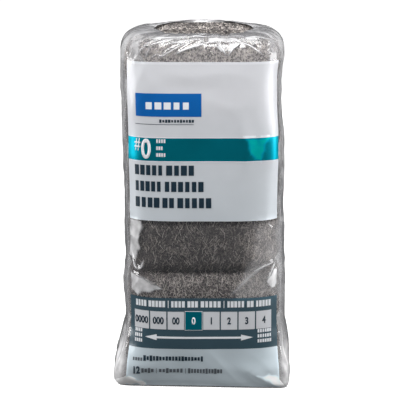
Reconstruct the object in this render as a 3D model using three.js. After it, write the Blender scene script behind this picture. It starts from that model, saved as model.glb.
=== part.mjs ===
// Twelve steel wool pads in a clear film bag: six layers of two, one behind the other.
// Millimetres, +Z up, the printed front towards -Y, the origin at the centre of the base.
//
// The bag is a film sleeve welded flat across its base. It stands out past the pads at the
// bottom corners, is drawn in round them above that, and is turned in over the top pads,
// where an oval mouth leaves them bare. The pads are wads of steel wool, pressed together.

import * as THREE from "three";

// Bag
const bagHeight = 240;
const filmThickness = 0.3;
const sectionPower = 4.5; // 2 is an ellipse, more is squarer: a full front with round corners
const columns = 48;

// The bag's wall, from its base to its shoulder: [height, half width, half depth].
const wall = [
  [0, 57.4, 33.0],
  [2.5, 59.0, 34.6],
  [14, 58.2, 35.6],
  [36, 54.6, 36.4],
  [90, 52.6, 36.2],
  [155, 53.8, 36.4],
  [205, 53.0, 36.0],
  [226, 53.8, 35.2],
];
const wallRows = 14;
const shoulderRadius = 11.5;
const shoulderRows = 5;
const mouthHalfWidth = 35;
const mouthHalfDepth = 22;
const mouthRise = 1.5; // the turned-in film climbs a little to its mouth
const turnInRows = 2;

// Pads
const layers = 6;
const padHalfLength = 49.5;
const padPower = 3.4; // how square a pressed pad's edges are
const padFilmGap = 1.2; // slack between the wool and the film's inside
const padGap = 0.4; // between neighbouring pads
const padCuts = [10, 5, 5]; // faces along, through and up one pad

const film = new THREE.MeshStandardMaterial({ color: 0xdfe3e6, roughness: 0.12, metalness: 0 });
const steelWool = new THREE.MeshStandardMaterial({ color: 0x5c5853, roughness: 0.6, metalness: 0.7 });

// A point at an angle round a superellipse, which is the bag's section at any height.
function sectionPoint(halfWidth, halfDepth, angle) {
  const along = (value) => Math.sign(value) * Math.abs(value) ** (2 / sectionPower);
  return [halfWidth * along(Math.cos(angle)), halfDepth * along(Math.sin(angle))];
}

// How deep the section is, from its middle to its wall, at a distance from its centre.
function sectionDepth(halfWidth, halfDepth, x) {
  const share = Math.min(Math.abs(x) / halfWidth, 1);
  return halfDepth * (1 - share ** sectionPower) ** (1 / sectionPower);
}

// The bag's profile as [half width, half depth, height], from the base to the mouth's lip.
function bagProfile() {
  const widths = new THREE.SplineCurve(wall.map(([z, halfWidth]) => new THREE.Vector2(halfWidth, z)));
  const depths = new THREE.SplineCurve(wall.map(([z, , halfDepth]) => new THREE.Vector2(halfDepth, z)));
  const rows = [];
  for (let i = 0; i <= wallRows; i++) {
    const width = widths.getPoint(i / wallRows);
    rows.push([width.x, depths.getPoint(i / wallRows).x, width.y]);
  }
  const [, shoulderWidth, shoulderDepth] = wall.at(-1);
  const shoulderHeight = bagHeight - mouthRise;
  const shoulderRise = shoulderHeight - wall.at(-1)[0];
  for (let i = 1; i <= shoulderRows; i++) {
    const turn = (i / shoulderRows) * (Math.PI / 2);
    const inset = shoulderRadius * (1 - Math.cos(turn));
    rows.push([
      shoulderWidth - inset,
      shoulderDepth - inset,
      shoulderHeight - shoulderRise * (1 - Math.sin(turn)),
    ]);
  }
  for (let i = 1; i <= turnInRows; i++) {
    const share = i / turnInRows;
    rows.push([
      THREE.MathUtils.lerp(shoulderWidth - shoulderRadius, mouthHalfWidth, share),
      THREE.MathUtils.lerp(shoulderDepth - shoulderRadius, mouthHalfDepth, share),
      shoulderHeight + mouthRise * share,
    ]);
  }
  return rows;
}

// The same profile one film thickness in, each row moved square to the profile's own slope.
function insideOf(profile) {
  return profile.map(([halfWidth, halfDepth, z], i) => {
    if (i === 0) return [halfWidth - filmThickness, halfDepth - filmThickness, filmThickness];
    const before = profile[i - 1];
    const after = profile[Math.min(i + 1, profile.length - 1)];
    const run = after[0] - before[0];
    const rise = after[2] - before[2];
    const length = Math.hypot(run, rise);
    const inward = (filmThickness * rise) / length;
    return [halfWidth - inward, halfDepth - inward, z + (filmThickness * run) / length];
  });
}

function bagGeometry() {
  const outside = bagProfile();
  const shells = [outside, insideOf(outside)];
  const positions = [];
  const faces = [];
  for (const rows of shells)
    for (const [halfWidth, halfDepth, z] of rows)
      for (let c = 0; c < columns; c++) {
        const angle = ((c + 0.5) / columns) * Math.PI * 2;
        positions.push(...sectionPoint(halfWidth, halfDepth, angle), z);
      }
  const rowCount = outside.length;
  const vertex = (shell, row, column) => (shell * rowCount + row) * columns + (column % columns);
  const quad = (a, b, c, d) => faces.push(a, b, c, a, c, d);
  for (let c = 0; c < columns; c++) {
    for (let r = 0; r + 1 < rowCount; r++) {
      quad(vertex(0, r, c), vertex(0, r, c + 1), vertex(0, r + 1, c + 1), vertex(0, r + 1, c));
      quad(vertex(1, r, c + 1), vertex(1, r, c), vertex(1, r + 1, c), vertex(1, r + 1, c + 1));
    }
    const lip = rowCount - 1;
    quad(vertex(0, lip, c), vertex(0, lip, c + 1), vertex(1, lip, c + 1), vertex(1, lip, c));
  }
  const outerCentre = positions.push(0, 0, 0) / 3 - 1;
  const innerCentre = positions.push(0, 0, filmThickness) / 3 - 1;
  for (let c = 0; c < columns; c++) {
    faces.push(outerCentre, vertex(0, 0, c + 1), vertex(0, 0, c));
    faces.push(innerCentre, vertex(1, 0, c), vertex(1, 0, c + 1));
  }
  const geometry = new THREE.BufferGeometry();
  geometry.setAttribute("position", new THREE.Float32BufferAttribute(positions, 3));
  geometry.setIndex(faces);
  geometry.computeVertexNormals();
  return geometry;
}

// One pad: a box of faces rounded off into a pillow, with its outer side following the bag's
// section. side is -1 for the front row and 1 for the back row.
function padGeometry(side, bottom, top) {
  const [, narrowestWidth, narrowestDepth] = wall.reduce((least, row) => (row[1] < least[1] ? row : least));
  const slack = filmThickness + padFilmGap;
  const geometry = new THREE.BoxGeometry(2, 2, 2, ...padCuts);
  const position = geometry.getAttribute("position");
  for (let i = 0; i < position.count; i++) {
    const corner = [position.getX(i), position.getY(i), position.getZ(i)];
    const spread = corner.reduce((sum, value) => sum + Math.abs(value) ** padPower, 0);
    const [u, v, w] = corner.map((value) => value / spread ** (1 / padPower));
    const x = u * padHalfLength;
    const depth = sectionDepth(narrowestWidth - slack, narrowestDepth - slack, x) - padGap / 2;
    const y = side * (padGap / 2 + (depth * (1 + side * v)) / 2);
    position.setXYZ(i, x, y, THREE.MathUtils.lerp(bottom, top, (w + 1) / 2));
  }
  geometry.computeVertexNormals();
  return geometry;
}

function named(name, geometry, material) {
  const mesh = new THREE.Mesh(geometry, material);
  mesh.name = name;
  return mesh;
}

const pack = new THREE.Group();
pack.name = "steel_wool_pack";
pack.add(named("film_bag", bagGeometry(), film));

const stackBottom = filmThickness + padGap;
const stackTop = bagHeight - mouthRise - filmThickness - padGap;
const layerHeight = (stackTop - stackBottom) / layers;
for (const [row, side] of [["front", -1], ["back", 1]])
  for (let layer = 1; layer <= layers; layer++) {
    const bottom = stackBottom + (layer - 1) * layerHeight;
    const geometry = padGeometry(side, bottom, bottom + layerHeight - padGap);
    pack.add(named(`pad_${row}_${layer}`, geometry, steelWool));
  }

export default pack;
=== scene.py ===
"""Twelve pressed steel wool pads, six layers of two, in a clear film bag with a printed front."""

import math

import bmesh
import bpy
import numpy as np
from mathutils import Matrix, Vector, noise


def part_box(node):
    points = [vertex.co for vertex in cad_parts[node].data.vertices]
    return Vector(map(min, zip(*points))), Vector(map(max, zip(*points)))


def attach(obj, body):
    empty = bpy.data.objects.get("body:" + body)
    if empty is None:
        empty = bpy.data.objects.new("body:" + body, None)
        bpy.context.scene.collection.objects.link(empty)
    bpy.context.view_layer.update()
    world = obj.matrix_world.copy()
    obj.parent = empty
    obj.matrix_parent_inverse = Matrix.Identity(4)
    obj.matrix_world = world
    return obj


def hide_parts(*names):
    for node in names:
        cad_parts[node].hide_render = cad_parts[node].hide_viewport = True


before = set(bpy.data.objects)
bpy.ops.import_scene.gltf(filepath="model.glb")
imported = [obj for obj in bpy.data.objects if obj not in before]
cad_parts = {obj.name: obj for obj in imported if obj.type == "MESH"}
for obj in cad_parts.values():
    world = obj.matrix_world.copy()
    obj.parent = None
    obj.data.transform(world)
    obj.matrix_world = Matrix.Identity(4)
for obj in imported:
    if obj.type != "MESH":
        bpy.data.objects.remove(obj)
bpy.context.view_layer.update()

# ---- Studio ---------------------------------------------------------------------------------
# A white floor, a dim room and large soft lights. The camera looks a little down on the pack
# from straight in front of it.

pack_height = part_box("film_bag")[1].z
scene = bpy.context.scene
scene.view_settings.view_transform = "Standard"


def add_object(name, data):
    """A new object in the scene, at the origin."""
    made = bpy.data.objects.new(name, data)
    scene.collection.objects.link(made)
    return made


camera_data = bpy.data.cameras.new("camera")
camera = add_object("camera", camera_data)
scene.camera = camera
camera_data.lens = 187.5
camera.location = (0.0, -1.36, pack_height + 0.22)
camera_aim = Vector((-0.0020, 0.0, 0.1217))
camera.rotation_euler = (camera_aim - camera.location).to_track_quat("-Z", "Y").to_euler()


class Wire:
    """A node's output, so that the maths of a finish reads as arithmetic."""

    def __init__(self, sheet, socket):
        self.sheet = sheet
        self.socket = socket

    def maths(self, operation, *values, **settings):
        inputs = dict(enumerate((self, *values)))
        return self.sheet.node("ShaderNodeMath", {"operation": operation, **settings}, inputs)

    def __add__(self, other):
        return self.maths("ADD", other)

    def __mul__(self, other):
        return self.maths("MULTIPLY", other)

    def __sub__(self, other):
        return self.maths("SUBTRACT", other)

    def __rsub__(self, other):
        return self.sheet.node("ShaderNodeMath", {"operation": "SUBTRACT"}, {0: other, 1: self})

    def __pow__(self, other):
        return self.maths("POWER", other)

    __radd__ = __add__
    __rmul__ = __mul__

    def vector(self, operation, other):
        """Vector maths: SCALE takes a value, the others take a vector."""
        key = "Scale" if operation == "SCALE" else 1
        return self.sheet.node("ShaderNodeVectorMath", {"operation": operation}, {0: self, key: other})

    def step(self, start, end):
        """0 below start and 1 above end, with a smooth rise between."""
        settings = {"interpolation_type": "SMOOTHSTEP"}
        inputs = {"Value": self, "From Min": start, "From Max": end}
        return self.sheet.node("ShaderNodeMapRange", settings, inputs)


class Sheet:
    """A node tree being written. node() adds any node and gives back one of its outputs."""

    def __init__(self, tree):
        self.tree = tree

    def node(self, kind, settings=(), inputs=(), output=0):
        made = self.tree.nodes.new(kind)
        for name, value in dict(settings).items():
            if name == "stops":
                for stop, (place, colour) in zip(self.ramp_stops(made, len(value)), value):
                    stop.position = place
                    stop.color = colour
            else:
                setattr(made, name, value)
        for key, value in dict(inputs).items():
            if isinstance(value, Wire):
                self.tree.links.new(value.socket, made.inputs[key])
            else:
                made.inputs[key].default_value = value
        return Wire(self, made.outputs[output])

    def ramp_stops(self, made, count):
        stops = made.color_ramp.elements
        while len(stops) < count:
            stops.new(1.0)
        return stops


def finish_sheet(name):
    """A new material and the sheet of its nodes, emptied apart from its output."""
    material = bpy.data.materials.new(name)
    material.use_nodes = True
    tree = material.node_tree
    tree.nodes.clear()
    return material, Sheet(tree)


def show(sheet, shader):
    """Ends the sheet with this shader on the surface."""
    output = sheet.tree.nodes.new("ShaderNodeOutputMaterial")
    sheet.tree.links.new(shader.socket, output.inputs["Surface"])


floor_finish, sheet = finish_sheet("studio_floor")
show(sheet, sheet.node(
    "ShaderNodeBsdfPrincipled", {},
    {
        "Base Color": (0.35, 0.35, 0.35, 1), "Roughness": 1.0, "Specular IOR Level": 0.0,
        "Emission Color": (1, 1, 1, 1), "Emission Strength": 1.0,
    },
))

floor_mesh = bpy.data.meshes.new("studio_floor")
floor_reach = 40.0
floor_corners = [(x * floor_reach, y * floor_reach, 0) for x, y in ((-1, -1), (1, -1), (1, 1), (-1, 1))]
floor_mesh.from_pydata(floor_corners, [], [(0, 1, 2, 3)])
floor_mesh.materials.append(floor_finish)
floor = add_object("studio_floor", floor_mesh)
floor.visible_diffuse = False
floor.visible_glossy = False

room = bpy.data.worlds.new("studio_room")
room.use_nodes = True
room.node_tree.nodes["Background"].inputs["Color"].default_value = (0.97, 0.98, 1.0, 1)
room.node_tree.nodes["Background"].inputs["Strength"].default_value = 0.13
scene.world = room


def softbox(name, place, aim, width, height, brightness):
    """A rectangular lamp at a place, turned to shine at another. Brightness is its radiance."""
    lamp = bpy.data.lights.new(name, "AREA")
    lamp.shape = "RECTANGLE"
    lamp.size = width
    lamp.size_y = height
    lamp.energy = brightness * math.pi * width * height
    made = add_object(name, lamp)
    made.location = place
    made.rotation_euler = (Vector(aim) - Vector(place)).to_track_quat("-Z", "Y").to_euler()
    return made


# The side lamps have a low twin each that shows only as gloss, so that the bag's flat top
# doesn't mirror them.
middle = (0, 0, pack_height / 2)
for name, place, width in (("left", (-0.85, -0.22, 0.40), 0.45), ("right", (0.85, -0.28, 0.40), 0.5)):
    softbox(name + "_light", place, middle, width, 0.8, 6.6).visible_glossy = False
    low_place = (place[0], place[1], 0.12)
    softbox(name + "_gloss", low_place, (0, 0, 0.12), width, 0.22, 7.6).visible_diffuse = False
softbox("front_top_light", (0.0, -0.42, 0.64), (0, 0, 0.20), 0.5, 0.25, 5.8)
softbox("overhead_light", (0.0, -0.16, 1.2), middle, 0.7, 0.35, 6.5)
softbox("left_rim_light", (-0.55, 0.75, 0.25), middle, 0.6, 0.7, 0.5)
softbox("right_rim_light", (0.55, 0.75, 0.25), middle, 0.6, 0.7, 0.5)
back_light = softbox("back_light", (0.0, 1.1, 0.13), middle, 0.9, 0.25, 3.4)
back_light.visible_glossy = False
gloss_light = softbox("gloss_light", (0.05, 0.62, 1.25), (0, 0, pack_height), 1.3, 0.6, 2.0)
gloss_light.visible_diffuse = False
streak_light = softbox("streak_light", (0.0, -0.42, 0.66), (0, 0, 0.20), 0.46, 0.10, 7.0)
streak_light.visible_diffuse = False

# ---- The bag's outline ----------------------------------------------------------------------
# The sleeve of film is drawn in round the pads, wider at its welded foot, with rounded
# shoulders that turn in to an open mouth. Its half widths and depths are given up its height.

wall_top = pack_height - 0.0135
shoulder_rise, shoulder_inset, shoulder_length = 0.0118, 0.0115, 0.0185
turn_in_length = 0.014
mouth_centre, mouth_half_width, mouth_half_depth, mouth_tilt = 0.0006, 0.0325, 0.0236, 0.075
mouth_power = 1.62
left_edge = [
    (0, 0.0575), (0.003, 0.0592), (0.012, 0.0588), (0.023, 0.0566), (0.034, 0.0542), (0.041, 0.0520),
    (0.049, 0.0520), (0.056, 0.0525), (0.066, 0.0530), (0.076, 0.0523), (0.084, 0.0514), (0.092, 0.0512),
    (0.110, 0.0517), (0.135, 0.0520), (0.180, 0.0532), (0.215, 0.0541), (0.2265, 0.0540),
]
right_edge = [
    (0, 0.0568), (0.004, 0.0583), (0.022, 0.0582), (0.033, 0.0571), (0.041, 0.0551), (0.049, 0.0555),
    (0.058, 0.0556), (0.069, 0.0550), (0.078, 0.0542), (0.087, 0.0544), (0.097, 0.0535), (0.108, 0.0538),
    (0.122, 0.0532), (0.137, 0.0536), (0.156, 0.0542), (0.170, 0.0534), (0.182, 0.0518), (0.205, 0.0512),
    (0.214, 0.0514), (0.222, 0.0530), (0.2265, 0.0530),
]
depth_edge = [
    (0, 0.0315), (0.004, 0.0330), (0.014, 0.0348), (0.034, 0.0364), (0.155, 0.0364), (0.192, 0.0360),
    (0.208, 0.0352), (0.2265, 0.0334),
]
wall_top_power = 4.5
squareness = [
    (0, 14.0), (0.006, 11.0), (0.018, 4.8), (0.028, 3.6), (0.070, 3.7), (0.112, 4.0), (0.160, 4.4),
    (0.2265, wall_top_power),
]


def eased(stations, blur=0.0025):
    """A curve through (height, value) stations, smoothed by a running mean."""
    heights = np.linspace(0, wall_top, 600)
    values = np.interp(heights, *zip(*stations))
    width = max(1, int(blur / (heights[1] - heights[0])))
    window = np.ones(2 * width + 1) / (2 * width + 1)
    mean = np.convolve(np.pad(values, width, mode="edge"), window, mode="valid")
    return lambda z: np.interp(z, heights, mean)


left_width, right_width, half_depth = eased(left_edge), eased(right_edge), eased(depth_edge)
power_at = eased(squareness, blur=0.004)
top_left, top_right = left_width(wall_top), right_width(wall_top)
top_depth = half_depth(wall_top)
shoulder_power, lean_in = 3.4, 1.3


def outline_at(z):
    """The bag's left, right and front reach, and the power that squares its section, at a height."""
    if z <= wall_top:
        return left_width(z), right_width(z), half_depth(z), power_at(z)
    lift = min((z - wall_top) / shoulder_rise, 1.0)
    inset = shoulder_inset * (1 - math.sqrt(1 - lift * lift))
    power = wall_top_power + (shoulder_power - wall_top_power) * math.asin(lift) / (math.pi / 2)
    return top_left - inset * lean_in, top_right - inset * lean_in, top_depth - inset, power


foot_turn, turn_height = 0.055, 0.028


def turn_at(z):
    """How far the foot is skewed round, front to back for each metre across."""
    return foot_turn * max(0.0, 1 - z / turn_height) ** 2


# ---- Steel wool pads ------------------------------------------------------------------------
# Each pad is a ribbon of fine steel shavings, folded and pressed into a pillow. Its fibres run
# round the fold and lie matted over one another.

wool_body, sheet = finish_sheet("wool_depth")
place = sheet.node("ShaderNodeTexCoord", {}, {}, output="Object")


def mottled(sheet, place, scale, detail):
    """Noise over the piece, about a mean of 0.5."""
    return sheet.node("ShaderNodeTexNoise", {}, {"Vector": place, "Scale": scale, "Detail": detail})


def kept_value(sheet, name):
    """A value that the mesh keeps at each of its points."""
    return sheet.node("ShaderNodeAttribute", {"attribute_name": name}, {}, output="Fac")


def matted(sheet, place, lean, seed):
    """Thin, bright streaks that lie along one lean across the pad's face."""
    turned = sheet.node(
        "ShaderNodeMapping", {}, {"Vector": place, "Rotation": (0, lean, 0), "Location": (seed, seed, seed)}
    )
    drawn = sheet.node("ShaderNodeMapping", {}, {"Vector": turned, "Scale": (2300, 1600, 420)})
    return mottled(sheet, drawn, 1.0, 2.0).step(0.48, 0.70)


strands = matted(sheet, place, 0.5, 0.3).maths("MAXIMUM", matted(sheet, place, -0.45, 0.7))
strands = strands.maths("MAXIMUM", matted(sheet, place, 1.3, 0.1))
patches = mottled(sheet, place, 160.0, 2.0)
body_stops = [
    (0.0, (0.018, 0.016, 0.018, 1)), (0.45, (0.075, 0.067, 0.065, 1)), (1.0, (0.40, 0.36, 0.33, 1)),
]
strand_tone = sheet.node(
    "ShaderNodeValToRGB", {"stops": body_stops}, {"Fac": strands * (patches * 0.9 + 0.35)}
)


def with_painted_light(sheet, colour):
    """The colour scaled by the painted light kept at each point, and uneven where it is clumped."""
    place = sheet.node("ShaderNodeTexCoord", {}, {}, output="Object")
    clump = mottled(sheet, place, 620.0, 2.0).step(0.36, 0.64) * 2 - 1
    light = kept_value(sheet, "shine") * (1 + clump * kept_value(sheet, "clumped"))
    return colour.vector("SCALE", light).vector("MINIMUM", (0.92, 0.86, 0.80))


bump = sheet.node("ShaderNodeBump", {}, {"Height": strands, "Strength": 0.5, "Distance": 0.0004})
show(sheet, sheet.node(
    "ShaderNodeBsdfPrincipled", {},
    {"Base Color": with_painted_light(sheet, strand_tone), "Metallic": 0.3, "Roughness": 0.55, "Normal": bump},
))

wool_strand, sheet = finish_sheet("wool_strands")
tone = kept_value(sheet, "tone")
strand_stops = [
    (0.0, (0.010, 0.009, 0.010, 1)), (0.58, (0.050, 0.044, 0.042, 1)), (0.72, (0.42, 0.38, 0.35, 1)),
    (1.0, (0.90, 0.83, 0.76, 1)),
]
strand_colour = sheet.node("ShaderNodeValToRGB", {"stops": strand_stops}, {"Fac": tone})
show(sheet, sheet.node(
    "ShaderNodeBsdfPrincipled", {},
    {"Base Color": with_painted_light(sheet, strand_colour), "Metallic": 0.3, "Roughness": 0.42},
))


def recipe_sheet(name, made, inputs):
    """A new geometry nodes tree that makes one thing, and a wire from each of its named inputs."""
    tree = bpy.data.node_groups.new(name, "GeometryNodeTree")
    tree.interface.new_socket(made, in_out="OUTPUT", socket_type="NodeSocketGeometry")
    for label, kind, value in inputs:
        socket = tree.interface.new_socket(label, in_out="INPUT", socket_type="NodeSocket" + kind)
        if value is not None:
            socket.default_value = value
    sheet = Sheet(tree)
    given = tree.nodes.new("NodeGroupInput")
    return sheet, [Wire(sheet, socket) for socket in given.outputs[:len(inputs)]]


def end_recipe(sheet, geometry):
    """Ends the tree with this geometry as what it makes."""
    result = sheet.tree.nodes.new("NodeGroupOutput")
    sheet.tree.links.new(geometry.socket, result.inputs[0])
    return sheet.tree


def chance(sheet, low, high, seed):
    """A random value between two, for each strand or block."""
    inputs = {2: low, 3: high, "Seed": seed}
    return sheet.node("FunctionNodeRandomValue", {"data_type": "FLOAT"}, inputs, output=1)


# Fibres per square metre, their length and their radius. Layers 2 and 6 show best.
fibre_sizes = {"6": (480000.0, 0.0046, 0.00014), "2": (520000.0, 0.0048, 0.00012)}
usual_fibre_sizes = (400000.0, 0.0046, 0.00011)


def fibre_recipe():
    """Geometry nodes that mat a pad's skin with curved, three-sided steel strands."""
    size_names = ("Fibres per square metre", "Fibre length", "Fibre radius")
    sizes = [(name, "Float", value) for name, value in zip(size_names, usual_fibre_sizes)]
    sheet, (pad, density, length, radius, seed) = recipe_sheet(
        "wool_fibres", "Pad", [("Pad", "Geometry", None), *sizes, ("Seed", "Int", 1)]
    )

    # One strand along Y, bowed sideways and with its ends tucked down.
    line = sheet.node(
        "GeometryNodeCurvePrimitiveLine", {"mode": "POINTS"}, {"Start": (0, -0.5, 0), "End": (0, 0.5, 0)}
    )
    line = sheet.node("GeometryNodeResampleCurve", {"mode": "COUNT"}, {"Curve": line, "Count": 3})
    along = sheet.node("GeometryNodeSplineParameter", {}, {}, output="Factor")
    bow = along.maths("MULTIPLY", math.pi).maths("SINE")
    shift = sheet.node("ShaderNodeCombineXYZ", {}, {"X": bow * 0.03, "Z": bow * 0.10 - 0.06})
    line = sheet.node("GeometryNodeSetPosition", {}, {"Geometry": line, "Offset": shift})
    size = sheet.node("ShaderNodeCombineXYZ", {}, {"X": length, "Y": length, "Z": length})
    line = sheet.node("GeometryNodeTransform", {}, {"Geometry": line, "Scale": size})
    ring = sheet.node(
        "GeometryNodeCurvePrimitiveCircle", {"mode": "RADIUS"}, {"Resolution": 3, "Radius": radius}
    )
    strand = sheet.node(
        "GeometryNodeCurveToMesh", {}, {"Curve": line, "Profile Curve": ring, "Fill Caps": True}
    )

    # Scattered over the sides that show, along the fold and spread about it.
    showing = sheet.node("GeometryNodeInputNamedAttribute", {"data_type": "FLOAT"}, {"Name": "showing"})
    points = sheet.node(
        "GeometryNodeDistributePointsOnFaces", {},
        {"Mesh": pad, "Density": density * showing, "Seed": seed}, output="Points",
    )
    normal = Wire(sheet, points.socket.node.outputs["Normal"])
    fold = sheet.node(
        "ShaderNodeVectorMath", {"operation": "CROSS_PRODUCT"}, {0: (1.0, 0.0, 0.0), 1: normal}
    )
    turn = sheet.node(
        "FunctionNodeAxesToRotation", {"primary_axis": "Z", "secondary_axis": "Y"},
        {"Primary Axis": normal, "Secondary Axis": fold},
    )
    low, high = (-0.08, -0.12, -0.80), (0.08, 0.12, 0.80)
    stray = sheet.node(
        "FunctionNodeRandomValue", {"data_type": "FLOAT_VECTOR"}, {0: low, 1: high, "Seed": seed + 3}
    )
    stray = sheet.node("FunctionNodeEulerToRotation", {}, {0: stray})
    turn = sheet.node("FunctionNodeRotateRotation", {"rotation_space": "LOCAL"}, {0: turn, 1: stray})
    scale = chance(sheet, 0.45, 1.35, seed + 5)
    strands = sheet.node(
        "GeometryNodeInstanceOnPoints", {},
        {"Points": points, "Instance": strand, "Rotation": turn, "Scale": scale},
    )
    strands = sheet.node(
        "GeometryNodeStoreNamedAttribute", {"data_type": "FLOAT", "domain": "INSTANCE"},
        {"Geometry": strands, "Name": "tone", "Value": chance(sheet, 0.0, 1.0, seed + 7)},
    )
    strands = sheet.node("GeometryNodeRealizeInstances", {}, {"Geometry": strands})
    wander = sheet.node(
        "ShaderNodeTexNoise", {"noise_dimensions": "4D"}, {"W": seed * 1.7, "Scale": 190.0, "Detail": 1.0},
        output="Color",
    )
    wander = wander.vector("SUBTRACT", (0.5, 0.5, 0.5)).vector("MULTIPLY", (0.00015, 0.0001, 0.00015))
    strands = sheet.node("GeometryNodeSetPosition", {}, {"Geometry": strands, "Offset": wander})
    strands = sheet.node("GeometryNodeSetMaterial", {}, {"Geometry": strands, "Material": wool_strand})

    body = sheet.node("GeometryNodeSetMaterial", {}, {"Geometry": pad, "Material": wool_body})
    body = sheet.node("GeometryNodeSetShadeSmooth", {}, {0: body, "Shade Smooth": True})
    joined = sheet.node("GeometryNodeJoinGeometry", {}, {0: strands})
    sheet.tree.links.new(body.socket, joined.socket.node.inputs[0])
    return end_recipe(sheet, joined)


fibres = fibre_recipe()
pad_power, top_pad_power = 4.0, 3.2
end_reach = 0.0022
skin_inset, row_overlap = 0.0006, 0.0012
lump_height, askew_rise, swell_rise = 0.0010, 0.0035, 0.0018
bag_gap = 0.0019
pad_cuts = 23
loose_end_highlight_top = 0.125  # the painted highlight on the front pads' loose ends stays below this
stack_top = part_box("pad_front_6")[1].z
low_stack = 0.06  # pads that start below this are the two lowest layers


def share_between(value, start, end):
    """0 at start and 1 at end, held outside them."""
    return min(max((value - start) / (end - start), 0), 1)


def pad_skin(node, front):
    """The pad's pressed pillow. Each point keeps how far it shows, its painted light and how clumped it is.
    """
    low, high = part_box(node)
    centre, half = (low + high) / 2, (high - low) / 2
    outward = -1 if front else 1
    centre.y -= outward * (row_overlap + skin_inset) / 2
    reach = Vector((half.x + end_reach, half.y + (row_overlap - skin_inset) / 2, half.z + skin_inset / 2))
    is_top, is_low = high.z > stack_top - 0.001, low.z < low_stack
    power_here = top_pad_power if is_top else pad_power
    # Painted light by layer: far brighter on the top layer and somewhat brighter on the two lowest.
    layer_painted_light, clumping = 1.35, 0.0
    if is_top:
        layer_painted_light, clumping = 11.0, 0.75
    elif is_low:
        layer_painted_light, clumping = 3.5, 0.25
    shell = bmesh.new()
    bmesh.ops.create_cube(shell, size=2)
    bmesh.ops.subdivide_edges(shell, edges=shell.edges[:], cuts=pad_cuts, use_grid_fill=True)
    mesh = bpy.data.meshes.new(node + "_wool")
    showing, shine = [], []
    for vertex in shell.verts:
        direction = vertex.co
        spread = sum(abs(value) ** power_here for value in direction) ** (1 / power_here)
        unit = direction / spread
        place = Vector(unit[i] * reach[i] for i in range(3)) + centre
        # Its fold lies askew on the right, and the top pads swell up into the mouth.
        askew = share_between(place.x, 0.018, 0.048)
        place.z += askew_rise * askew * math.exp(-((place.z - 0.084) / 0.028) ** 2)
        swell = math.exp(-((place.x / 0.035) ** 8)) * math.exp(-((place.y / 0.0210) ** 8))
        place.z += swell_rise * swell * share_between(place.z, stack_top - 0.020, stack_top - 0.002)
        lump = noise.noise(place * 60) * 0.7 + noise.noise(place * 160) * 0.3
        place += unit.normalized() * lump_height * lump
        # The bag presses the pad's corners in.
        left, right, depth, power = outline_at(place.z)
        room_x, room_y = (right if place.x > 0 else left) - bag_gap, depth - bag_gap
        fill = (abs(place.x / room_x) ** power + abs(place.y / room_y) ** power) ** (1 / power)
        if fill > 1 and swell < 0.05:
            place.x, place.y = place.x / fill, place.y / fill
        place.y -= turn_at(place.z) * place.x
        vertex.co = place
        up = unit.z if place.z > stack_top - 0.004 else 0.0
        showing.append(max(outward * unit.y, abs(unit.x) ** 3, up * 0.9))
        # Painted shade on the top pads' upper faces and deep in the other pads' folds, and a painted
        # highlight on the loose end at the right.
        painted_shade = max(unit.z, 0) ** 2 * 0.875 if is_top else 0.45 * share_between(abs(unit.z), 0.70, 0.98)
        loose_end_highlight_start = 0.027 + 0.14 * min(place.z - 0.098, 0) + 0.004 * noise.noise(place * 90)
        loose_end_highlight = share_between(place.x, loose_end_highlight_start, loose_end_highlight_start + 0.007)
        if not front or place.z >= loose_end_highlight_top:
            loose_end_highlight = 0
        shine.append(layer_painted_light * (1 - painted_shade) + (1.3 if is_low else 2.6) * loose_end_highlight)
    shell.to_mesh(mesh)
    shell.free()
    shown = np.clip(np.array(showing) * 1.5 - 0.1, 0, 1)
    for name, values in (("showing", shown), ("shine", shine), ("clumped", [clumping] * len(shine))):
        mesh.attributes.new(name, "FLOAT", "POINT").data.foreach_set("value", values)
    return mesh


def plain_copy(maker, name):
    """The modifiers' result as a plain mesh object, in place of the object that made it."""
    bpy.context.view_layer.update()
    graph = bpy.context.evaluated_depsgraph_get()
    mesh = bpy.data.meshes.new_from_object(maker.evaluated_get(graph))
    mesh.name = name
    bpy.data.objects.remove(maker)
    return add_object(name, mesh)


def recipe_inputs(modifier, **values):
    """Sets a geometry nodes modifier's inputs by their plain names."""
    for item in modifier.node_group.interface.items_tree:
        key = item.name.lower().replace(" ", "_")
        if item.in_out == "INPUT" and key in values:
            modifier[item.identifier] = values[key]


for number, node in enumerate(sorted(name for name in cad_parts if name.startswith("pad_"))):
    row, layer = node.split("_")[1:]
    maker = add_object(node + "_maker", pad_skin(node, row == "front"))
    modifier = maker.modifiers.new("fibres", "NODES")
    modifier.node_group = fibres
    density, length, radius = fibre_sizes.get(layer, usual_fibre_sizes)
    recipe_inputs(
        modifier, seed=number + 1, fibres_per_square_metre=density,
        fibre_length=length, fibre_radius=radius,
    )
    pad = plain_copy(maker, node + "_wool")
    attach(pad, "root")
    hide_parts(node)

# ---- Film bag -------------------------------------------------------------------------------
# One sleeve of clear film, shrunk round the pads and welded flat across its base. The print
# is on the film itself, so its panels are faces of the same sheet.

# Where the print's panels start and end, up the film.
label_half = 0.0490
slate_low, slate_high = 0.0281, 0.0635
label_low, teal_low, teal_high, label_high = 0.1162, 0.1566, 0.1720, 0.2217
back_low, back_high, back_teal_low, back_teal_high = 0.030, 0.205, 0.012, 0.024

film_thickness = 0.00012
section_points = 1201


def half_section(reach, depth, power):
    """The film at one height, from the middle of the front to the middle of the back."""
    angle = np.linspace(-math.pi / 2, math.pi / 2, section_points)
    x = reach * np.abs(np.cos(angle)) ** (2 / power)
    y = depth * np.sign(np.sin(angle)) * np.abs(np.sin(angle)) ** (2 / power)
    length = np.concatenate([[0], np.cumsum(np.hypot(np.diff(x), np.diff(y)))])
    return x, y, length


# Places on the film are given by "across", the length of film round the bag to the right of
# the middle of the front, and "up", the length of film up from the foot.
x, y, length = half_section(0.0530, 0.0362, wall_top_power)
round_half = length[-1]
front_points = section_points // 2
label_edge = np.interp(label_half, x[:front_points], length[:front_points])
back_edge = round_half - label_edge * 0.86


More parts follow.
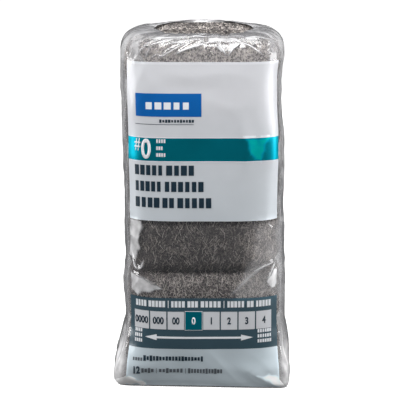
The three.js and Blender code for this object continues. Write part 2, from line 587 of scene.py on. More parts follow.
def spaced(*stretches):
    """Places along a line, from (start, end, step) stretches that meet end to end."""
    parts = []
    for start, end, step in stretches:
        parts.append(np.linspace(start, end, max(1, round((end - start) / step)), endpoint=False))
    return np.concatenate([*parts, [stretches[-1][1]]])


columns = spaced(
    (-round_half, -back_edge, 0.0040), (-back_edge, -label_edge, 0.0016), (-label_edge, label_edge, 0.0015),
    (label_edge, back_edge, 0.0016), (back_edge, round_half, 0.0040),
)
wall_rows = spaced(
    (0, 0.010, 0.0010), (0.010, slate_low, 0.0014), (slate_low, slate_high, 0.0018),
    (slate_high, label_low, 0.0014), (label_low, teal_low, 0.0021), (teal_low, teal_high, 0.0017),
    (teal_high, label_high, 0.0021), (label_high, wall_top, 0.0010),
)
shoulder_rows = spaced((0, 1, 1 / 20))[1:]
turn_in_rows = spaced((0, 1, 1 / 12))[1:]
base_rows = spaced((0, 1, 1 / 8))[:0:-1]
base_length, base_hollow, lip_rise = 0.0315, 0.0002, 0.0008


def ring(left, right, depth, power, pinned=1.0):
    """Where the columns stand at one height. Pinned, the front ones keep their true spacing."""
    placed = np.zeros((len(columns), 2))
    for side, reach in ((-1, left), (1, right)):
        x, y, length = half_section(reach, depth, power)
        front_run = label_edge * (pinned + (1 - pinned) * length[-1] / round_half)
        run = np.interp(np.abs(columns), [0, label_edge, round_half], [0, front_run, length[-1]])
        ours = columns * side >= 0
        reached = np.stack([side * np.interp(run, length, x), np.interp(run, length, y)], axis=-1)
        placed[ours] = reached[ours]
    return placed[:, 0], placed[:, 1]


rings = []
foot_x, foot_y = ring(*outline_at(0.0))
foot_y -= turn_at(0.0) * foot_x
for share in base_rows:
    hollow = np.full_like(foot_x, base_hollow * math.sin(share * math.pi))
    rings.append((foot_x, foot_y * (1 - share), hollow, -base_length * share))
for z in wall_rows:
    x, y = ring(*outline_at(z))
    y = y - turn_at(z) * x
    rings.append((x, y, np.full_like(x, z), z))
for share in shoulder_rows:
    height = wall_top + shoulder_rise * math.sin(share * math.pi / 2)
    x, y = ring(*outline_at(height), pinned=1 - share)
    rings.append((x, y, np.full_like(x, height), wall_top + shoulder_length * share))
edge_x, edge_y, edge_z, edge_up = rings[-1]
lip_x, lip_y = ring(mouth_half_width, mouth_half_width, mouth_half_depth, mouth_power, pinned=0.0)
for share in turn_in_rows:
    x = edge_x + (lip_x + mouth_centre - edge_x) * share
    y = edge_y + (lip_y - edge_y) * share
    z = edge_z + lip_rise * math.sin(share * math.pi * 0.8) + mouth_tilt * lip_y * share
    rings.append((x, y, z, edge_up + turn_in_length * share))
smooth_place = np.stack([np.stack(row[:3], axis=-1) for row in rings])
rows_up = np.array([row[3] for row in rings])
around = np.gradient(smooth_place, axis=1)
around[:, 0] = around[:, -1] = smooth_place[:, 1] - smooth_place[:, -2]
smooth_normal = np.cross(around, np.gradient(smooth_place, axis=0))
smooth_normal /= np.maximum(np.linalg.norm(smooth_normal, axis=-1, keepdims=True), 1e-12)

# Folds in the film, each a path of (across, up) points in millimetres with the crest's height,
# how far its sides spread, and the strength of the whitening and painted highlight along its crest. These
# run down from the mouth.
folds = [
    ([(-18, 227.0), (-11, 230.3), (2, 234.3)], 1.2, 1.5, 1.0),
    ([(-31, 223.0), (-20, 229.5), (-10, 235.0)], 0.9, 1.0, 0.7),
    ([(-40, 237.0), (-28, 238.5), (-15, 239.0)], 0.8, 1.3, 0.9),
    ([(-36, 232.0), (-27, 236.0), (-18, 238.0)], 0.9, 1.1, 0.7),
    ([(-24, 233.5), (-12, 236.0), (0, 237.5)], 0.9, 1.1, 0.8),
    ([(-14, 239.5), (-4, 241.0), (6, 240.0)], 0.7, 1.2, 0.9),
    ([(9.5, 234.5), (12.5, 230.0), (15.8, 225.5)], 1.2, 1.1, 0.9),
    ([(15.8, 225.5), (19.5, 230.5), (25.5, 234.5)], 1.3, 1.1, 1.0),
    ([(26, 235.0), (32, 231.5), (38.5, 226.5)], 1.0, 1.1, 1.0),
    ([(-44, 222.5), (-41, 229.0), (-35, 236.0)], 0.9, 1.5, 0.5),
    ([(-49, 223.0), (-46, 230.0), (-41, 238.0)], 0.9, 1.6, 0.5),
    ([(-38, 223.5), (-36, 227.0), (-34, 233.0)], 0.8, 1.2, 0.4),
    ([(-34, 224.5), (-30, 226.5), (-27, 225.0)], 0.7, 1.1, 0.5),
    ([(40, 224.0), (45, 231.0), (47, 238.0)], 0.9, 1.4, 0.4),
    ([(33, 225.0), (38, 231.0), (40, 237.0)], 0.8, 1.4, 0.3),
    ([(28, 238.0), (40, 239.0), (52, 233.0)], 0.8, 1.3, 0.7),
    ([(-6, 224.0), (0, 229.0), (4, 234.0)], 0.5, 1.6, 0.0),
]
# Over the clear window, where the film stands off the pads near its sides.
folds += [
    ([(-41.5, 116), (-42.5, 104), (-41.5, 92)], 0.4, 2.0, 0.0),
    ([(-50, 94), (-46.5, 84), (-44, 82)], 1.1, 1.2, 0.9),
    ([(-44, 82), (-41.5, 83.5), (-39.5, 88.5)], 0.9, 1.1, 0.8),
    ([(-50, 80), (-38, 76), (-27, 70)], 0.9, 1.5, 0.3),
    ([(-49, 68), (-44, 74), (-41, 80)], 0.7, 1.5, 0.0),
    ([(17, 64), (24, 71), (30, 77.5), (39, 84), (47, 87)], 0.9, 2.4, 0.42),
    ([(33, 81.5), (40, 85), (49.5, 87.5)], 0.9, 0.9, 0.9),
    ([(49.5, 87), (46, 81), (43, 75)], 1.1, 1.0, 1.0),
    ([(51.5, 83), (48.5, 77), (46, 70)], 1.0, 1.2, 0.5),
]
# Down the sides of the foot, out to the ears at its corners.
folds += [
    ([(-52, 44), (-53, 30), (-54.5, 12), (-57, 2)], 1.1, 1.6, 0.3),
    ([(-55, 40), (-56, 22), (-60, 4)], 1.1, 1.6, 0.9),
    ([(-66, 34), (-63, 18), (-60, 5)], 1.0, 2.0, 0.2),
    ([(52, 44), (53.5, 28), (54, 14), (57, 2)], 1.1, 1.6, 0.3),
    ([(56, 44), (56, 24), (59, 6)], 1.1, 1.6, 0.9),
    ([(66, 36), (63, 20), (62, 6)], 1.0, 2.0, 0.2),
    ([(31, 12), (43, 5), (54, 1.5)], 1.7, 3.4, 0.0),
    ([(-54, 12), (-48, 6), (-42, 2)], 1.5, 2.8, 0.0),
]
# Down the sides of the bag: how far round, where they start, and how far they lean.
side_folds = [
    (55, 60, 2), (60, 50, 3), (68, 92, -4), (57, 100, -2), (61, 130, 4), (55, 150, 2), (70, 158, -3),
    (60, 188, 5), (76, 60, 3),
]
for side in (-1, 1):
    for across, low, lean in side_folds:
        path = [(side * across, low), (side * (across + lean), low + 18), (side * across, low + 34)]
        folds.append((path, 0.8, 1.3, 0.45))
# Soft dents in the printed front.
soft_folds = [
    ([(26, 184), (29, 166), (25, 146)], 1.4, 4.2, 0.0),
    ([(49, 186), (48.5, 166), (49, 146)], 1.2, 4.2, 0.0),
    ([(-46, 196), (-42, 210), (-35, 221)], 0.6, 2.4, 0.0),
    ([(-49, 176), (-47, 192), (-49, 206)], 0.4, 2.4, 0.0),
    ([(4, 196), (20, 190), (34, 196)], 0.35, 4.0, 0.0),
    ([(-30, 216), (-8, 212), (16, 215), (36, 211)], 0.35, 3.5, 0.0),
    ([(18, 148), (22, 132), (16, 120)], 0.3, 5.0, 0.0),
    ([(44, 190), (42, 165), (44, 135)], 0.4, 5.0, 0.0),
    ([(-10, 176), (8, 168), (26, 163)], 0.3, 6.0, 0.0),
    ([(-40, 221), (-34, 208), (-46, 190)], 0.5, 4.0, 0.0),
    ([(-26, 206), (0, 204), (14, 207)], -0.5, 5.0, 0.0),
    ([(20, 14), (34, 10), (50, 16)], 0.5, 4.0, 0.0),
]
# Painted highlights where facets of film stand square to the light: corners, anticlockwise, how
# strong the painted highlight, and how softly its edges fade in millimetres.
highlight_facets = [
    ([(8.5, 232.0), (12.5, 227.5), (13.5, 234.0)], 0.9, 0.6),
    ([(17.0, 228.5), (25.0, 234.0), (17.5, 234.5)], 1.0, 0.6),
    ([(2, 235.5), (26, 235.5), (24, 239.0), (4, 239.0)], 0.85, 0.8),
    ([(-34, 237.0), (-10, 238.5), (-14, 241), (-36, 240)], 0.6, 0.8),
    ([(-50.5, 221.5), (-38, 221.5), (-43, 235), (-50, 237)], 0.55, 3.0),
    ([(-45, 223), (-43.5, 226), (-41, 233), (-43, 234)], 0.5, 0.8),
    ([(42, 221.5), (50.5, 221.5), (50.5, 237), (46, 235)], 0.55, 2.5),
    ([(30, 236.5), (40, 236.5), (38, 239), (31, 239)], 0.7, 0.8),
    ([(-50.5, 79.5), (-49.8, 67), (-44, 65), (-27, 70), (-38, 75.5)], 0.78, 1.2),
    ([(42.5, 74), (46.5, 69), (51, 71), (51, 82), (48.5, 82)], 1.0, 0.6),
    ([(-52, 104), (-43.5, 102), (-41.5, 108), (-41.0, 116), (-52, 116)], 0.78, 1.6),
    ([(-52, 90), (-45.5, 89), (-42.5, 96), (-43.5, 104), (-52, 105)], 0.72, 1.6),
    ([(33.5, 157), (38.0, 157), (43.5, 171.6), (28.0, 171.6), (30.0, 165)], 1.0, 1.6),
    ([(-66, 22), (-61, 7), (-58, 9), (-57, 26), (-60, 34)], 0.95, 2.5),
    ([(58, 30), (57.5, 12), (61, 6), (64, 14), (61, 32)], 0.5, 2.5),
    ([(-53, 1.5), (-38, 1.5), (-44, 6), (-52, 9)], 0.8, 1.6),
    ([(37, 9), (50, 1.5), (57, 1.5), (56, 7), (47, 9.5)], 0.42, 1.6),
]


def from_path(across, up, path):
    """Each point's distance from a path, and how far along the path it lies, from 0 to 1."""
    nearest = np.full(across.shape, 1e9)
    along = np.zeros(across.shape)
    points = np.array(path) / 1000
    for i in range(len(points) - 1):
        run = points[i + 1] - points[i]
        aside, above = across - points[i, 0], up - points[i, 1]
        share = np.clip((aside * run[0] + above * run[1]) / (run @ run), 0, 1)
        distance = np.hypot(aside - share * run[0], above - share * run[1])
        closer = distance < nearest
        nearest = np.where(closer, distance, nearest)
        along = np.where(closer, (i + share) / (len(points) - 1), along)
    return nearest, along


def within(across, up, corners):
    """How far inside a convex outline each point is: below 0 outside it."""
    inside = np.full(across.shape, 1e9)
    for (x0, z0), (x1, z1) in zip(corners, corners[1:] + corners[:1]):
        side = (x1 - x0) * (up - z0 / 1000) - (z1 - z0) * (across - x0 / 1000)
        inside = np.minimum(inside, side / math.hypot(x1 - x0, z1 - z0))
    return inside


def step(values, start, end):
    """0 below start and 1 above end, with a smooth rise between, over a whole array."""
    share = np.clip((values - start) / (end - start), 0, 1)
    return share * share * (3 - 2 * share)


def ridges(across, up, across_scale, up_scale, seed, lean=0.0):
    """Ridged noise over the sheet: sharp crests between soft hollows, as creased film has."""
    shift = Vector((seed * 13.7, seed * 7.1, seed * 3.3))
    angle = across / round_half * math.pi
    spots = np.stack([np.cos(angle), np.sin(angle)], axis=-1) * (round_half / math.pi / across_scale)
    heights = (up + lean * across) / up_scale
    places = (shift + Vector((*spot, z)) for spot, z in zip(spots, heights))
    return np.array([1 - 2 * abs(noise.noise(place)) for place in places])


def regions(across, up):
    """How far each point is round the side, over the shoulder, in the clear window and in the foot."""
    aside = step(np.abs(across), label_edge * 0.96, label_edge * 1.08)
    over = step(up, label_high + 0.0005, wall_top + 0.003)
    window = step(up, slate_high - 0.006, slate_high + 0.004)
    window = window * (1 - step(up, label_low - 0.008, label_low + 0.004))
    foot = 1 - step(up, 0.010, 0.045)
    return aside, over, window, foot


def fold_taper(along):
    """A fold's height along its path: full in its middle, fading to its ends."""
    return np.sin(np.clip(along, 0.03, 0.97) * math.pi) ** 0.5


def film_push(across, up):
    """How far the film's folds and crinkles stand out from its smooth shape."""
    aside, over, window, foot = regions(across, up)
    push = 0.00040 * ridges(across, up, 0.045, 0.05, 1) * (1 - over)
    push += 0.00040 * aside * ridges(across, up, 0.011, 0.030, 2, lean=0.3)
    push += 0.00022 * aside * ridges(across, up, 0.006, 0.010, 3)
    push += 0.00035 * over * ridges(across, up, 0.0110, 0.030, 4, lean=0.5)
    push += 0.00022 * over * ridges(across, up, 0.0300, 0.0060, 5, lean=-0.15)
    window_side = window * step(np.abs(across), 0.028, 0.046)
    push += 0.00050 * window_side * ridges(across, up, 0.012, 0.013, 6, lean=0.6)
    push += 0.00060 * foot * aside * ridges(across, up, 0.010, 0.016, 7, lean=-0.5)
    push += 0.00030 * foot * ridges(across, up, 0.024, 0.013, 8, lean=0.8)
    for group, sharpness in ((folds, 1.6), (soft_folds, 2.0)):
        for path, height, width, white_and_highlight_strength in group:
            nearest, along = from_path(across, up, path)
            crest = np.exp(-((nearest * 1000 / width) ** sharpness))
            push += 0.65 * height / 1000 * fold_taper(along) * crest
    lip_fade = 1 - 0.5 * step(up, rows_up[-1] - 0.005, rows_up[-1])
    seam_fade = 1 - step(np.abs(across), round_half - 0.008, round_half - 0.001)
    return (push - 0.0004) * lip_fade * seam_fade * step(up, 0.0, 0.003)


def on_film(across, up, lift):
    """Places over the sheet, from their places across and up it, lifted off its outer face."""
    c = np.interp(across, columns, np.arange(len(columns)))
    r = np.interp(up, rows_up, np.arange(len(rows_up)))
    c0, r0 = np.minimum(c.astype(int), len(columns) - 2), np.minimum(r.astype(int), len(rows_up) - 2)
    c, r = (c - c0)[:, None], (r - r0)[:, None]

    def between(table):
        lower = table[r0, c0] * (1 - c) + table[r0, c0 + 1] * c
        upper = table[r0 + 1, c0] * (1 - c) + table[r0 + 1, c0 + 1] * c
        return lower * (1 - r) + upper * r

    place = between(smooth_place) + between(smooth_normal) * (film_push(across, up) + lift)[:, None]
    place[:, 2] = np.maximum(place[:, 2], 0.0)
    return place


# The sheet is drawn flat as a grid, cut finer along its folds and facets, then laid in place.
flat = bmesh.new()
grid = [[flat.verts.new((across, up, 0)) for across in columns] for up in rows_up]
for lower, upper in zip(grid, grid[1:]):
    for i in range(len(columns) - 1):
        flat.faces.new((lower[i], lower[i + 1], upper[i + 1], upper[i]))
for closeness in (1.3, 0.6):
    flat.verts.index_update()
    across, up = np.array([vertex.co[:2] for vertex in flat.verts]).T
    near = np.zeros(across.shape, bool)
    for path, height, width, white_and_highlight_strength in folds:
        near |= from_path(across, up, path)[0] < closeness * max(width, 1.0) / 1000
    for corners, white_and_highlight_strength, soft in highlight_facets:
        near |= np.abs(within(across, up, corners)) < 0.0008 * closeness
    fine = [edge for edge in flat.edges if near[edge.verts[0].index] and near[edge.verts[1].index]]
    bmesh.ops.subdivide_edges(flat, edges=fine, cuts=1, use_grid_fill=True)

# The pale panel spreads at the foot, out to the bag's corners, along a slanting edge.
spreads = {-1: (0.0085, 0.014), 1: (0.0065, 0.0045)}
for side, (spread_height, spread_width) in spreads.items():
    slant = Vector((side * spread_height, spread_width, 0))
    low_faces = [face for face in flat.faces if face.calc_center_median().y < spread_height * 1.3]
    low_parts = {part for face in low_faces for part in (face, *face.edges, *face.verts)}
    start = Vector((side * label_edge, spread_height, 0))
    bmesh.ops.bisect_plane(flat, geom=list(low_parts), dist=1e-6, plane_co=start, plane_no=slant)

bmesh.ops.triangulate(flat, faces=flat.faces[:])
clear, pale, teal, slate = range(4)


def panel_of(across, up):
    """Which ink, if any, covers the film at a place on the sheet."""
    spread_height, spread_width = spreads[-1 if across < 0 else 1]
    spread_top = (label_edge + spread_width - abs(across)) * spread_height / spread_width
    if abs(across) > label_edge and 0.001 < up < spread_top:
        return pale
    if abs(across) < label_edge:
        if 0.001 < up < slate_low or label_low < up < teal_low or teal_high < up < label_high:
            return pale
        if slate_low < up < slate_high:
            return slate
        if teal_low < up < teal_high:
            return teal
    if abs(across) > back_edge:
        if back_low < up < back_high:
            return pale
        if back_teal_low < up < back_teal_high:
            return teal
    return clear


for face in flat.faces:
    middle_of_face = face.calc_center_median()
    face.material_index = panel_of(middle_of_face.x, middle_of_face.y)
    face.smooth = True
across, up = np.array([vertex.co[:2] for vertex in flat.verts]).T
for vertex, place in zip(flat.verts, on_film(across, up, 0.0)):
    vertex.co = place
aside, over, window, foot = regions(across, up)
bulge_edge = np.interp(up, [0.064, 0.079, 0.088, 0.098, 0.118], [0.017, 0.023, 0.028, 0.031, 0.032])
ragged = np.array([noise.noise(Vector((x * 260, z * 200, 5))) for x, z in zip(across, up)])
stands_off = window * step(across + 0.004 * ragged, bulge_edge, bulge_edge + 0.007) * (across < 0.06)
near_mouth = step(up, wall_top + 0.006, wall_top + 0.018)
shoulder = step(up, label_high - 0.001, label_high + 0.001)
rim = step(up, rows_up[-1] - 0.0022, rows_up[-1] - 0.0008)
behind = step(np.abs(across), back_edge - 0.012, back_edge + 0.012)
haze_share = 0.05 + 0.05 * shoulder + 0.26 * near_mouth + 0.35 * near_mouth * behind + 0.30 * rim
haze_share += 0.20 * aside + 0.10 * stands_off + 0.30 * foot * aside
haze_share = np.clip(haze_share, 0, 0.9)
# How white the haze goes: painted highlights over the shoulder, where the window's film stands off the
# pads, down the sides and at the ears, then along each fold's crest and over each highlight facet, which
# also raise the haze.
white_and_highlight_share = shoulder * (0.40 - 0.30 * near_mouth) + 0.60 * stands_off * (1 - aside)
white_and_highlight_share += 0.30 * aside + 0.75 * aside * foot
for path, height, width, white_and_highlight_strength in folds:
    nearest, along = from_path(across, up, path)
    line = white_and_highlight_strength * fold_taper(along) * np.exp(-((nearest * 1000 / (0.55 * width)) ** 2))
    haze_share, white_and_highlight_share = np.maximum(haze_share, line), np.maximum(white_and_highlight_share, line)
for corners, white_and_highlight_strength, soft in highlight_facets:
    spot = np.clip(within(across, up, corners) * 1000 / soft + 0.4 + 0.7 * ragged, 0, 1)
    spot = white_and_highlight_strength * spot * (0.9 + 0.3 * ragged)
    haze_share, white_and_highlight_share = np.maximum(haze_share, spot), np.maximum(white_and_highlight_share, spot)
haze_layer, white_and_highlight_layer = (flat.verts.layers.float.new(name) for name in ("hazy", "whitened"))
for vertex, hazy, white_and_highlight_strength in zip(flat.verts, haze_share, white_and_highlight_share):
    vertex[haze_layer], vertex[white_and_highlight_layer] = hazy, white_and_highlight_strength
bmesh.ops.remove_doubles(flat, verts=flat.verts[:], dist=1e-6)
bag_mesh = bpy.data.meshes.new("film_bag_sheet")
flat.to_mesh(bag_mesh)
flat.free()

film_finish, sheet = finish_sheet("clear_film")
place = sheet.node("ShaderNodeTexCoord", {}, {}, output="Object")
haze = mottled(sheet, place, 150.0, 5.0)
hazy, whitened = kept_value(sheet, "hazy"), kept_value(sheet, "whitened")
rub = mottled(sheet, place, 900.0, 3.0)
crinkle = sheet.node(
    "ShaderNodeTexNoise", {}, {"Vector": place, "Scale": 130.0, "Detail": 1.5, "Distortion": 0.6}
)
bump = sheet.node(
    "ShaderNodeBump", {}, {"Height": rub * 0.03 + crinkle, "Strength": 0.16, "Distance": 0.0006}
)
aslant = sheet.node("ShaderNodeLayerWeight", {}, {"Blend": 0.5, "Normal": bump}, output="Facing")
mirror = aslant ** 5 * 0.85 + 0.045
veil = hazy * (haze.step(0.3, 0.7) * 0.5 + 0.72) + aslant ** 3 * (haze * 0.3 + 0.45)
veil = veil.maths("MINIMUM", 0.94)
clear_sheet = sheet.node("ShaderNodeBsdfTransparent", {}, {"Color": (0.985, 0.985, 0.985, 1)})
grey_haze = sheet.node("ShaderNodeBsdfDiffuse", {}, {"Color": (0.27, 0.27, 0.285, 1)})
white_haze_and_highlight = sheet.node("ShaderNodeBsdfDiffuse", {}, {"Color": (0.90, 0.895, 0.905, 1)})
edge_shade = sheet.node("ShaderNodeBsdfDiffuse", {}, {"Color": (0.06, 0.06, 0.065, 1)})
gloss = sheet.node(
    "ShaderNodeBsdfGlossy", {}, {"Color": (0.95, 0.95, 0.95, 1), "Roughness": 0.08, "Normal": bump}
)
# The white haze doubles as the painted highlight on folds and facets and the painted reflection where the
# window's film stands off.
milk = sheet.node("ShaderNodeMixShader", {}, {0: whitened, 1: grey_haze, 2: white_haze_and_highlight})
edge = (aslant ** 4).maths("MINIMUM", 0.85)
milk = sheet.node("ShaderNodeMixShader", {}, {0: edge, 1: milk, 2: edge_shade})
veiled = sheet.node("ShaderNodeMixShader", {}, {0: veil, 1: clear_sheet, 2: milk})
show(sheet, sheet.node("ShaderNodeMixShader", {}, {0: mirror, 1: veiled, 2: gloss}))


def ink_finish(name, colour, metallic=0.0, roughness=0.35, variation=0.05, coat=0.3, foot_colour=None):
    """Opaque print seen through gloss film, brightened by a painted highlight over the film's highlight
    facets. It may shade to another colour down to the foot.
    """
    material, sheet = finish_sheet(name)
    place = sheet.node("ShaderNodeTexCoord", {}, {}, output="Object")
    mottle = mottled(sheet, place, 60.0, 3.0)
    height = sheet.node("ShaderNodeSeparateXYZ", {}, {0: place}, output="Z")
    stops = [(0.04, (*(foot_colour or colour), 1)), (0.20, (*colour, 1))]
    shade = sheet.node("ShaderNodeValToRGB", {"stops": stops}, {"Fac": height})
    # Random mottle, and a painted highlight where the film is painted white.
    mottle_and_sheen = (mottle * 2 - 1) * variation + kept_value(sheet, "whitened") * 2.0 + 1
    shade = shade.vector("SCALE", mottle_and_sheen).vector("MINIMUM", (0.95, 0.95, 0.95))
    rub = mottled(sheet, place, 500.0, 3.0)
    bump = sheet.node("ShaderNodeBump", {}, {"Height": rub, "Strength": 0.1, "Distance": 0.0002})
    show(sheet, sheet.node(
        "ShaderNodeBsdfPrincipled", {},
        {
            "Base Color": shade, "Metallic": metallic, "Roughness": roughness, "Coat Weight": coat,
            "Coat Roughness": 0.15, "Normal": bump,
        },
    ))
    return material


# The pale ink goes darker and bluer toward the foot: painted shade, as the top of the front is lit more and
# mirrors white.
pale_ink = ink_finish(
    "pale_ink", (0.610, 0.616, 0.645), metallic=0.15, roughness=0.5, foot_colour=(0.515, 0.59, 0.635),
)
teal_ink = ink_finish(
    "teal_ink", (0.0, 0.35, 0.47), metallic=0.95, roughness=0.40, coat=0.08, variation=0.12,
)
slate_ink = ink_finish("slate_ink", (0.031, 0.066, 0.088))
for material in (film_finish, pale_ink, teal_ink, slate_ink):
    bag_mesh.materials.append(material)
bag = add_object("film_bag_sheet", bag_mesh)
wall = bag.modifiers.new("film_thickness", "SOLIDIFY")
wall.thickness = film_thickness
wall.offset = -1
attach(bag, "root")
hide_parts("film_bag")

# ---- Print on the front ---------------------------------------------------------------------
# Inks laid over the panels of the film: a plain blue block, rows of small blocks where words
# would stand, and a scale of grades in boxes. Each is drawn flat, then laid on the film.

print_lift, layer_lift, ink_thickness = 0.00012, 0.00010, 0.00004
longest_edge, most_cuts = 0.0014, 7


def lay_on_film(name, drawing, ink, lift=print_lift):
    """Cuts a flat drawing, x across and y up, into small faces and lays it on the film."""
    for _ in range(most_cuts):
        bmesh.ops.triangulate(drawing, faces=drawing.faces[:])
        long_edges = [edge for edge in drawing.edges if edge.calc_length() > longest_edge]
        if not long_edges:
            break
        bmesh.ops.subdivide_edges(drawing, edges=long_edges, cuts=1)
    bmesh.ops.triangulate(drawing, faces=drawing.faces[:])
    across, up = np.array([vertex.co[:2] for vertex in drawing.verts]).T
    for vertex, place in zip(drawing.verts, on_film(across, up, lift)):
        vertex.co = place
    mesh = bpy.data.meshes.new(name)
    drawing.to_mesh(mesh)
    drawing.free()
    mesh.materials.append(ink)
    piece = add_object(name, mesh)
    skin = piece.modifiers.new("ink_thickness", "SOLIDIFY")
    skin.thickness = ink_thickness
    skin.offset = 1
    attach(piece, "root")
    return piece


def add_shape(drawing, corners):
    """A flat face from its corners in millimetres, anticlockwise."""
    drawing.faces.new([drawing.verts.new((x / 1000, y / 1000, 0)) for x, y in corners])


def add_bar(drawing, left, bottom, width, height):
    """A flat bar from its lower left corner and its two sizes, in millimetres."""
    right, top = left + width, bottom + height
    add_shape(drawing, [(left, bottom), (right, bottom), (right, top), (left, top)])


def block_recipe():
    """Geometry nodes for a row of upright blocks of uneven width, as a word looks from afar."""
    sheet, (count, pitch, width, height, shortest, seed, ink) = recipe_sheet("word_blocks", "Row", (
        ("Blocks", "Int", 5), ("Pitch", "Float", 0.004), ("Width", "Float", 0.003),
        ("Height", "Float", 0.007), ("Shortest", "Float", 1.0), ("Seed", "Int", 1),
        ("Ink", "Material", None),
    ))
    stride = sheet.node("ShaderNodeCombineXYZ", {}, {"X": pitch})
    start = sheet.node("ShaderNodeCombineXYZ", {}, {"X": width * 0.5, "Y": height * 0.5})
    row = sheet.node(
        "GeometryNodeMeshLine", {"mode": "OFFSET"},
        {"Count": count, "Start Location": start, "Offset": stride},
    )
    block = sheet.node(
        "GeometryNodeMeshGrid", {}, {"Size X": width, "Size Y": height, "Vertices X": 2, "Vertices Y": 2}
    )
    narrow, low = chance(sheet, 0.70, 1.0, seed), chance(sheet, shortest, 1.0, seed + 9)
    size = sheet.node("ShaderNodeCombineXYZ", {}, {"X": narrow, "Y": low, "Z": 1.0})
    row = sheet.node("GeometryNodeInstanceOnPoints", {}, {"Points": row, "Instance": block, "Scale": size})
    row = sheet.node("GeometryNodeRealizeInstances", {}, {"Geometry": row})
    return end_recipe(sheet, sheet.node("GeometryNodeSetMaterial", {}, {"Geometry": row, "Material": ink}))


word_blocks = block_recipe()


def add_made(drawing, maker, left, bottom, stretch=1.0):
    """Adds what an object makes, moved to a place in millimetres, and removes the object."""
    made = plain_copy(maker, "made")
    for vertex in made.data.vertices:
        vertex.co.x = vertex.co.x * stretch + left / 1000
        vertex.co.y += bottom / 1000
    drawing.from_mesh(made.data)
    bpy.data.objects.remove(made)


def add_word(drawing, left, bottom, right, height, blocks, ink, shortest=1.0):
    """A row of blocks from left to right, standing on bottom, in millimetres."""
    maker = add_object("word", bpy.data.meshes.new("word"))
    modifier = maker.modifiers.new("blocks", "NODES")
    modifier.node_group = word_blocks
    pitch = (right - left) / (blocks - 0.16)
    recipe_inputs(
        modifier, blocks=blocks, pitch=pitch / 1000, width=pitch * 0.84 / 1000, height=height / 1000,
        shortest=shortest, seed=round(left * 7 + bottom * 3) % 97, ink=ink,
    )
    add_made(drawing, maker, left, bottom)


cap_share = 0.70  # a figure's height, as a share of its font's size


def add_figures(drawing, figures, middle, bottom, height, stretch=0.74, stroke_growth=0.035):
    """Plain figures, centred on middle and standing on bottom, in millimetres."""
    curve = bpy.data.curves.new("figures", "FONT")
    curve.body = figures
    curve.align_x = "CENTER"
    curve.fill_mode = "FRONT"
    curve.size = height / cap_share / 1000
    curve.offset = stroke_growth * curve.size
    add_made(drawing, add_object("figures", curve), middle, bottom, stretch)


blue_ink = ink_finish("blue_ink", (0.0, 0.125, 0.45), metallic=0.3, coat=0.12)
dark_ink = ink_finish("dark_ink", (0.006, 0.022, 0.038))
white_ink = ink_finish("white_ink", (0.72, 0.74, 0.77))
grey_ink = ink_finish("grey_ink", (0.10, 0.115, 0.13))

drawing = bmesh.new()
add_bar(drawing, -44.2, 186.2, 43.2, 15.2)
lay_on_film("blue_block", drawing, blue_ink)
drawing = bmesh.new()
add_word(drawing, -37.8, 191.0, -8.6, 4.6, 5, white_ink)
lay_on_film("block_print", drawing, white_ink, lift=print_lift + layer_lift)

drawing = bmesh.new()
add_word(drawing, -28.5, 182.2, -5.8, 2.2, 12, dark_ink, shortest=0.7)
add_bar(drawing, -44.6, 180.9, 38.6, 0.3)
heading_rows = [
    (147.0, [(-45.6, -26.3, 5), (-24.1, -5.6, 4)]),
    (136.1, [(-45.6, -27.4, 5), (-25.4, 0.5, 6)]),
    (125.2, [(-45.6, -28.6, 4), (-26.7, -18.8, 2), (-16.8, 5.6, 5)]),
]
for bottom, words in heading_rows:
    for left, right, blocks in words:
        add_word(drawing, left, bottom, right, 6.8, blocks, dark_ink)
lay_on_film("heading_blocks", drawing, dark_ink)

drawing = bmesh.new()
add_figures(drawing, "0", -37.3, 158.6, 12.5, stretch=0.74, stroke_growth=0.025)
add_figures(drawing, "#", -43.3, 164.2, 7.9, stretch=0.63, stroke_growth=0.01)
for bottom, right, blocks in ((168.8, -24.4, 4), (164.1, -26.2, 3), (159.6, -24.4, 4)):
    add_word(drawing, -30.6, bottom, right, 2.4, blocks, white_ink)
lay_on_film("grade_figure", drawing, white_ink)

# Fine white rules along the panel's top and the teal band's edges.
drawing = bmesh.new()
for bottom in (221.1, 172.0, 156.1):
    add_bar(drawing, -48.9, bottom, 97.8, 0.5)
lay_on_film("white_rules", drawing, white_ink)

# The scale of grades: eight boxes in a row, the pack's own grade picked out in teal.
grades = ["0000", "000", "00", "0", "1", "2", "3", "4"]
picked = 3
box_pitch, box_width, box_low, box_height = 11.8, 10.9, 41.8, 12.4
scale_middle = -0.3
figure_low, figure_height = 45.7, 4.6
box_middles = [scale_middle + (i - 3.5) * box_pitch for i in range(len(grades))]


def add_boxes(drawing, middles, grow):
    width, height = box_width + 2 * grow, box_height + 2 * grow
    for middle in middles:
        add_bar(drawing, middle - box_width / 2 - grow, box_low - grow, width, height)


box_ink = ink_finish("box_ink", (0.565, 0.580, 0.605))
drawing = bmesh.new()
add_boxes(drawing, [m for i, m in enumerate(box_middles) if i != picked], 0)
lay_on_film("scale_boxes", drawing, box_ink)
drawing = bmesh.new()
add_boxes(drawing, [box_middles[picked]], 0.42)
lay_on_film("picked_border", drawing, white_ink)
drawing = bmesh.new()
add_boxes(drawing, [box_middles[picked]], 0.05)
lay_on_film("picked_box", drawing, teal_ink, lift=print_lift + layer_lift)
drawing = bmesh.new()
for i, (grade, middle) in enumerate(zip(grades, box_middles)):
    if i != picked:
        add_figures(drawing, grade, middle, figure_low, figure_height)
lay_on_film("scale_figures", drawing, dark_ink, lift=print_lift + layer_lift)
drawing = bmesh.new()
add_figures(drawing, grades[picked], box_middles[picked], figure_low, figure_height)
lay_on_film("picked_figure", drawing, white_ink, lift=print_lift + 2 * layer_lift)

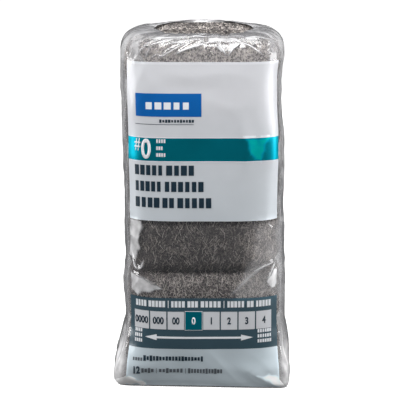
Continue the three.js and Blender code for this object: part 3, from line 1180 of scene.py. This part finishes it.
drawing = bmesh.new()
title_words = [(-45.8, -37.9, 4), (-36.4, -25.1, 5), (-21.3, -12.0, 4), (-10.3, -3.3, 3), (-1.5, 11.9, 5)]
title_words += [(16.0, 27.5, 5), (29.2, 33.7, 2), (35.2, 46.0, 5)]
for left, right, blocks in title_words:
    add_word(drawing, left, 57.2, right, 4.3, blocks, white_ink)
for left in (-23.3, 13.7):
    add_bar(drawing, left, 56.8, 0.5, 5.0)
for bottom in (39.2, 35.7, 32.2):
    add_word(drawing, -46.6, bottom, -41.0, 2.3, 4, white_ink)
    add_word(drawing, 36.5, bottom, 46.4, 2.3, 6, white_ink)
arrow_left, arrow_right, arrow_middle = -38.9, 33.4, 36.2
head_length, head_half, shaft_half = 8.0, 2.1, 0.7
shaft_length = arrow_right - arrow_left - 2 * head_length
add_bar(drawing, arrow_left + head_length, arrow_middle - shaft_half, shaft_length, 2 * shaft_half)
for tip, inward in ((arrow_left, 1), (arrow_right, -1)):
    back = tip + inward * head_length
    corners = [(tip, arrow_middle), (back, arrow_middle - head_half), (back, arrow_middle + head_half)]
    add_shape(drawing, corners[::inward])
lay_on_film("scale_print", drawing, white_ink)

drawing = bmesh.new()
add_word(drawing, -40.0, 19.2, 0.2, 4.0, 19, dark_ink, shortest=0.55)
add_figures(drawing, "12", -44.8, 10.2, 5.0, stretch=0.72, stroke_growth=0.04)
lay_on_film("foot_print_dark", drawing, dark_ink)
drawing = bmesh.new()
add_word(drawing, -47.4, 19.2, -40.6, 2.2, 4, grey_ink)
for left, right, blocks in ((-41.4, -33.0, 4), (-29.6, -13.4, 7), (-10.0, 13.0, 12)):
    add_word(drawing, left, 10.4, right, 3.9, blocks, grey_ink, shortest=0.6)
for left in (-31.4, -11.8):
    add_bar(drawing, left, 10.2, 0.35, 3.9)
lay_on_film("foot_print_grey", drawing, grey_ink)

# ---- Back seam ------------------------------------------------------------------------------
# The sleeve is closed by a flat lap welded down the middle of the back.

seam_low, seam_high, seam_half = 0.002, 0.243, 0.0055
seam_rise, seam_offset, seam_thickness = 0.0003, 0.0075, 0.00015
seam_rows = spaced((seam_low, seam_high, 0.0022))
seam_columns = spaced((-seam_half, seam_half, 0.0011))
across, up = (grid.ravel() for grid in np.meshgrid(seam_columns, seam_rows))
edge_wave = np.array([noise.noise(Vector((x * 200, z * 90, 3))) for x, z in zip(across, up)])
drift = np.array([noise.noise(Vector((z * 25, 0, 1))) for z in up])
lift = seam_rise + 0.0004 * edge_wave * np.abs(across) / seam_half
places = on_film(-round_half + seam_offset + 0.0006 * drift + across, up, lift)
seam = bmesh.new()
points = [seam.verts.new(place) for place in places]
width = len(seam_columns)
for low in range(0, len(points) - width, width):
    for i in range(low, low + width - 1):
        seam.faces.new((points[i], points[i + 1], points[i + width + 1], points[i + width]))
seam_mesh = bpy.data.meshes.new("back_seam")
seam.to_mesh(seam_mesh)
seam.free()
seam_mesh.polygons.foreach_set("use_smooth", [True] * len(seam_mesh.polygons))
for name, share in (("hazy", 0.30), ("whitened", 0.6)):
    shares = np.full(len(seam_mesh.vertices), share)
    seam_mesh.attributes.new(name, "FLOAT", "POINT").data.foreach_set("value", shares)
seam_mesh.materials.append(film_finish)
back_seam = add_object("back_seam", seam_mesh)
seam_wall = back_seam.modifiers.new("film_thickness", "SOLIDIFY")
seam_wall.thickness = seam_thickness
seam_wall.offset = 1
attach(back_seam, "root")
